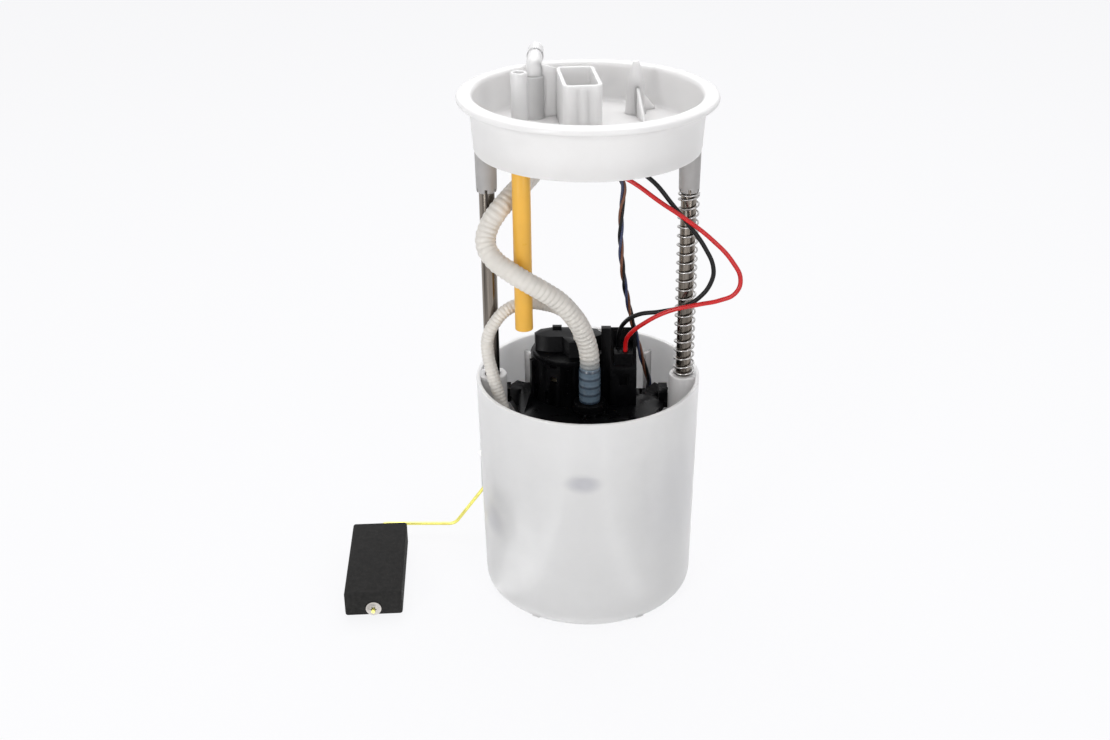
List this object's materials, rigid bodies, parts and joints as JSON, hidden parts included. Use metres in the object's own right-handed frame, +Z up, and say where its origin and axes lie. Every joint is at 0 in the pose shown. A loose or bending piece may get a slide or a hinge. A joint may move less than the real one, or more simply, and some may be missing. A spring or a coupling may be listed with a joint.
{
  "type": "fuel pump module",
  "caption": "In-tank fuel pump module: bucket with pump, level sender and float under a flange that slides on guide rods against a spring.",
  "frame": {"origin": "middle of the bucket's flat underside", "axes": "+Z up along the bucket's axis to the flange; the guide rods lie along X, the float is on the -X side and lies along Y"},
  "size_m": [0.215, 0.1294, 0.292],
  "materials": {
    "natural_nylon": "translucent natural moulding",
    "black_plastic": "fine satin black moulding",
    "clear_hose": "milky corrugated hose",
    "amber_tube": "smooth amber nylon tube",
    "rod_steel": "ground and polished",
    "spring_steel": "drawn wire",
    "zinc_steel": "bright zinc plating",
    "yellow_zinc": "yellow passivated wire",
    "lead_red": "extruded insulation",
    "lead_black": "extruded insulation",
    "lead_brown": "extruded insulation",
    "float_foam": "closed cell foam, fine grain",
    "black_rubber": "moulded rubber",
    "mesh_nylon": "fine woven mesh",
    "can_steel": "zinc plated can",
    "cast_alloy": "die cast",
    "cap_resin": "cream resin",
    "magnet": "sintered ferrite",
    "bronze": "sintered bronze",
    "carbon": "pressed carbon",
    "copper": "turned copper",
    "phenolic": "moulded phenolic",
    "tin": "tin plated",
    "card": "ceramic card with printed tracks",
    "sender_resin": "natural acetal"
  },
  "bodies": {
    "bucket": {"bucket": "natural_nylon", "foot_valve": "black_rubber", "strainer_frame": "black_plastic", "strainer_mesh": "mesh_nylon", "pump_carrier": "black_plastic", "holder_cap": "black_plastic", "outlet_fitting": "black_plastic", "damper_rings": "black_rubber", "pump_can": "can_steel", "pump_inlet_cover": "cast_alloy", "pump_chamber_plate": "cast_alloy", "field_magnets": "magnet", "motor_bushes": "bronze", "carbon_brushes": "carbon", "brush_springs": "spring_steel", "pump_outlet_cap": "cap_resin", "regulator_body": "can_steel", "regulator_spring": "spring_steel", "regulator_seat": "cast_alloy", "pump_connector": "black_plastic", "lead_plug": "black_plastic", "jet_pump": "black_plastic", "jet_hose": "clear_hose", "sender_housing": "sender_resin", "sender_card": "card", "sender_terminals": "tin", "return_spring": "spring_steel", "feed_hose": "clear_hose", "lead_red": "lead_red", "lead_black": "lead_black", "sender_leads": "lead_brown", "valve_spring": "spring_steel"},
    "flange": {"flange": "natural_nylon", "guide_rod_left": "rod_steel", "guide_rod_right": "rod_steel", "rod_rings": "spring_steel", "socket_pins": "tin", "return_tube": "amber_tube"},
    "float_arm": {"arm_wire": "yellow_zinc", "arm_hub": "black_plastic", "wiper": "tin", "push_nuts": "zinc_steel"},
    "float": {"float": "float_foam"},
    "rotor": {"armature": "magnet", "commutator": "copper", "rotor_shaft": "rod_steel", "impeller": "phenolic"},
    "check_valve": {"check_valve": "cast_alloy"},
    "regulator_valve": {"regulator_valve": "bronze"}
  },
  "joints": [
    {"name": "flange_slide", "type": "slide", "parent": "bucket", "child": "flange", "axis": [0, 0, 1], "range_m": [-0.045, 0], "stiffness_N_per_m": 500, "springref_m": 0.02, "deforming": ["return_spring", "feed_hose", "lead_red", "lead_black", "sender_leads"]},
    {"name": "float_lift", "type": "hinge", "parent": "bucket", "child": "float_arm", "pos_m": [-0.054, 0.0365, 0.0424], "axis": [0, 1, 0], "range_deg": [0, 85]},
    {"name": "float_turn", "type": "hinge", "parent": "float_arm", "child": "float", "pos_m": [-0.12099, 0.022, 0.0077], "axis": [-0.0698, 0.9976, 0], "continuous": true},
    {"name": "rotor_spin", "type": "hinge", "parent": "bucket", "child": "rotor", "pos_m": [-0.0105, 0.015, 0.076], "axis": [0, 0, 1], "continuous": true},
    {"name": "check_valve_lift", "type": "slide", "parent": "bucket", "child": "check_valve", "axis": [0, 0, 1], "range_m": [0, 0.0015], "stiffness_N_per_m": 60, "springref_m": -0.002, "deforming": ["valve_spring"]},
    {"name": "regulator_lift", "type": "slide", "parent": "bucket", "child": "regulator_valve", "axis": [0, 0, -1], "range_m": [0, 0.0015], "stiffness_N_per_m": 300, "springref_m": -0.003, "deforming": ["regulator_spring"]}
  ]
}
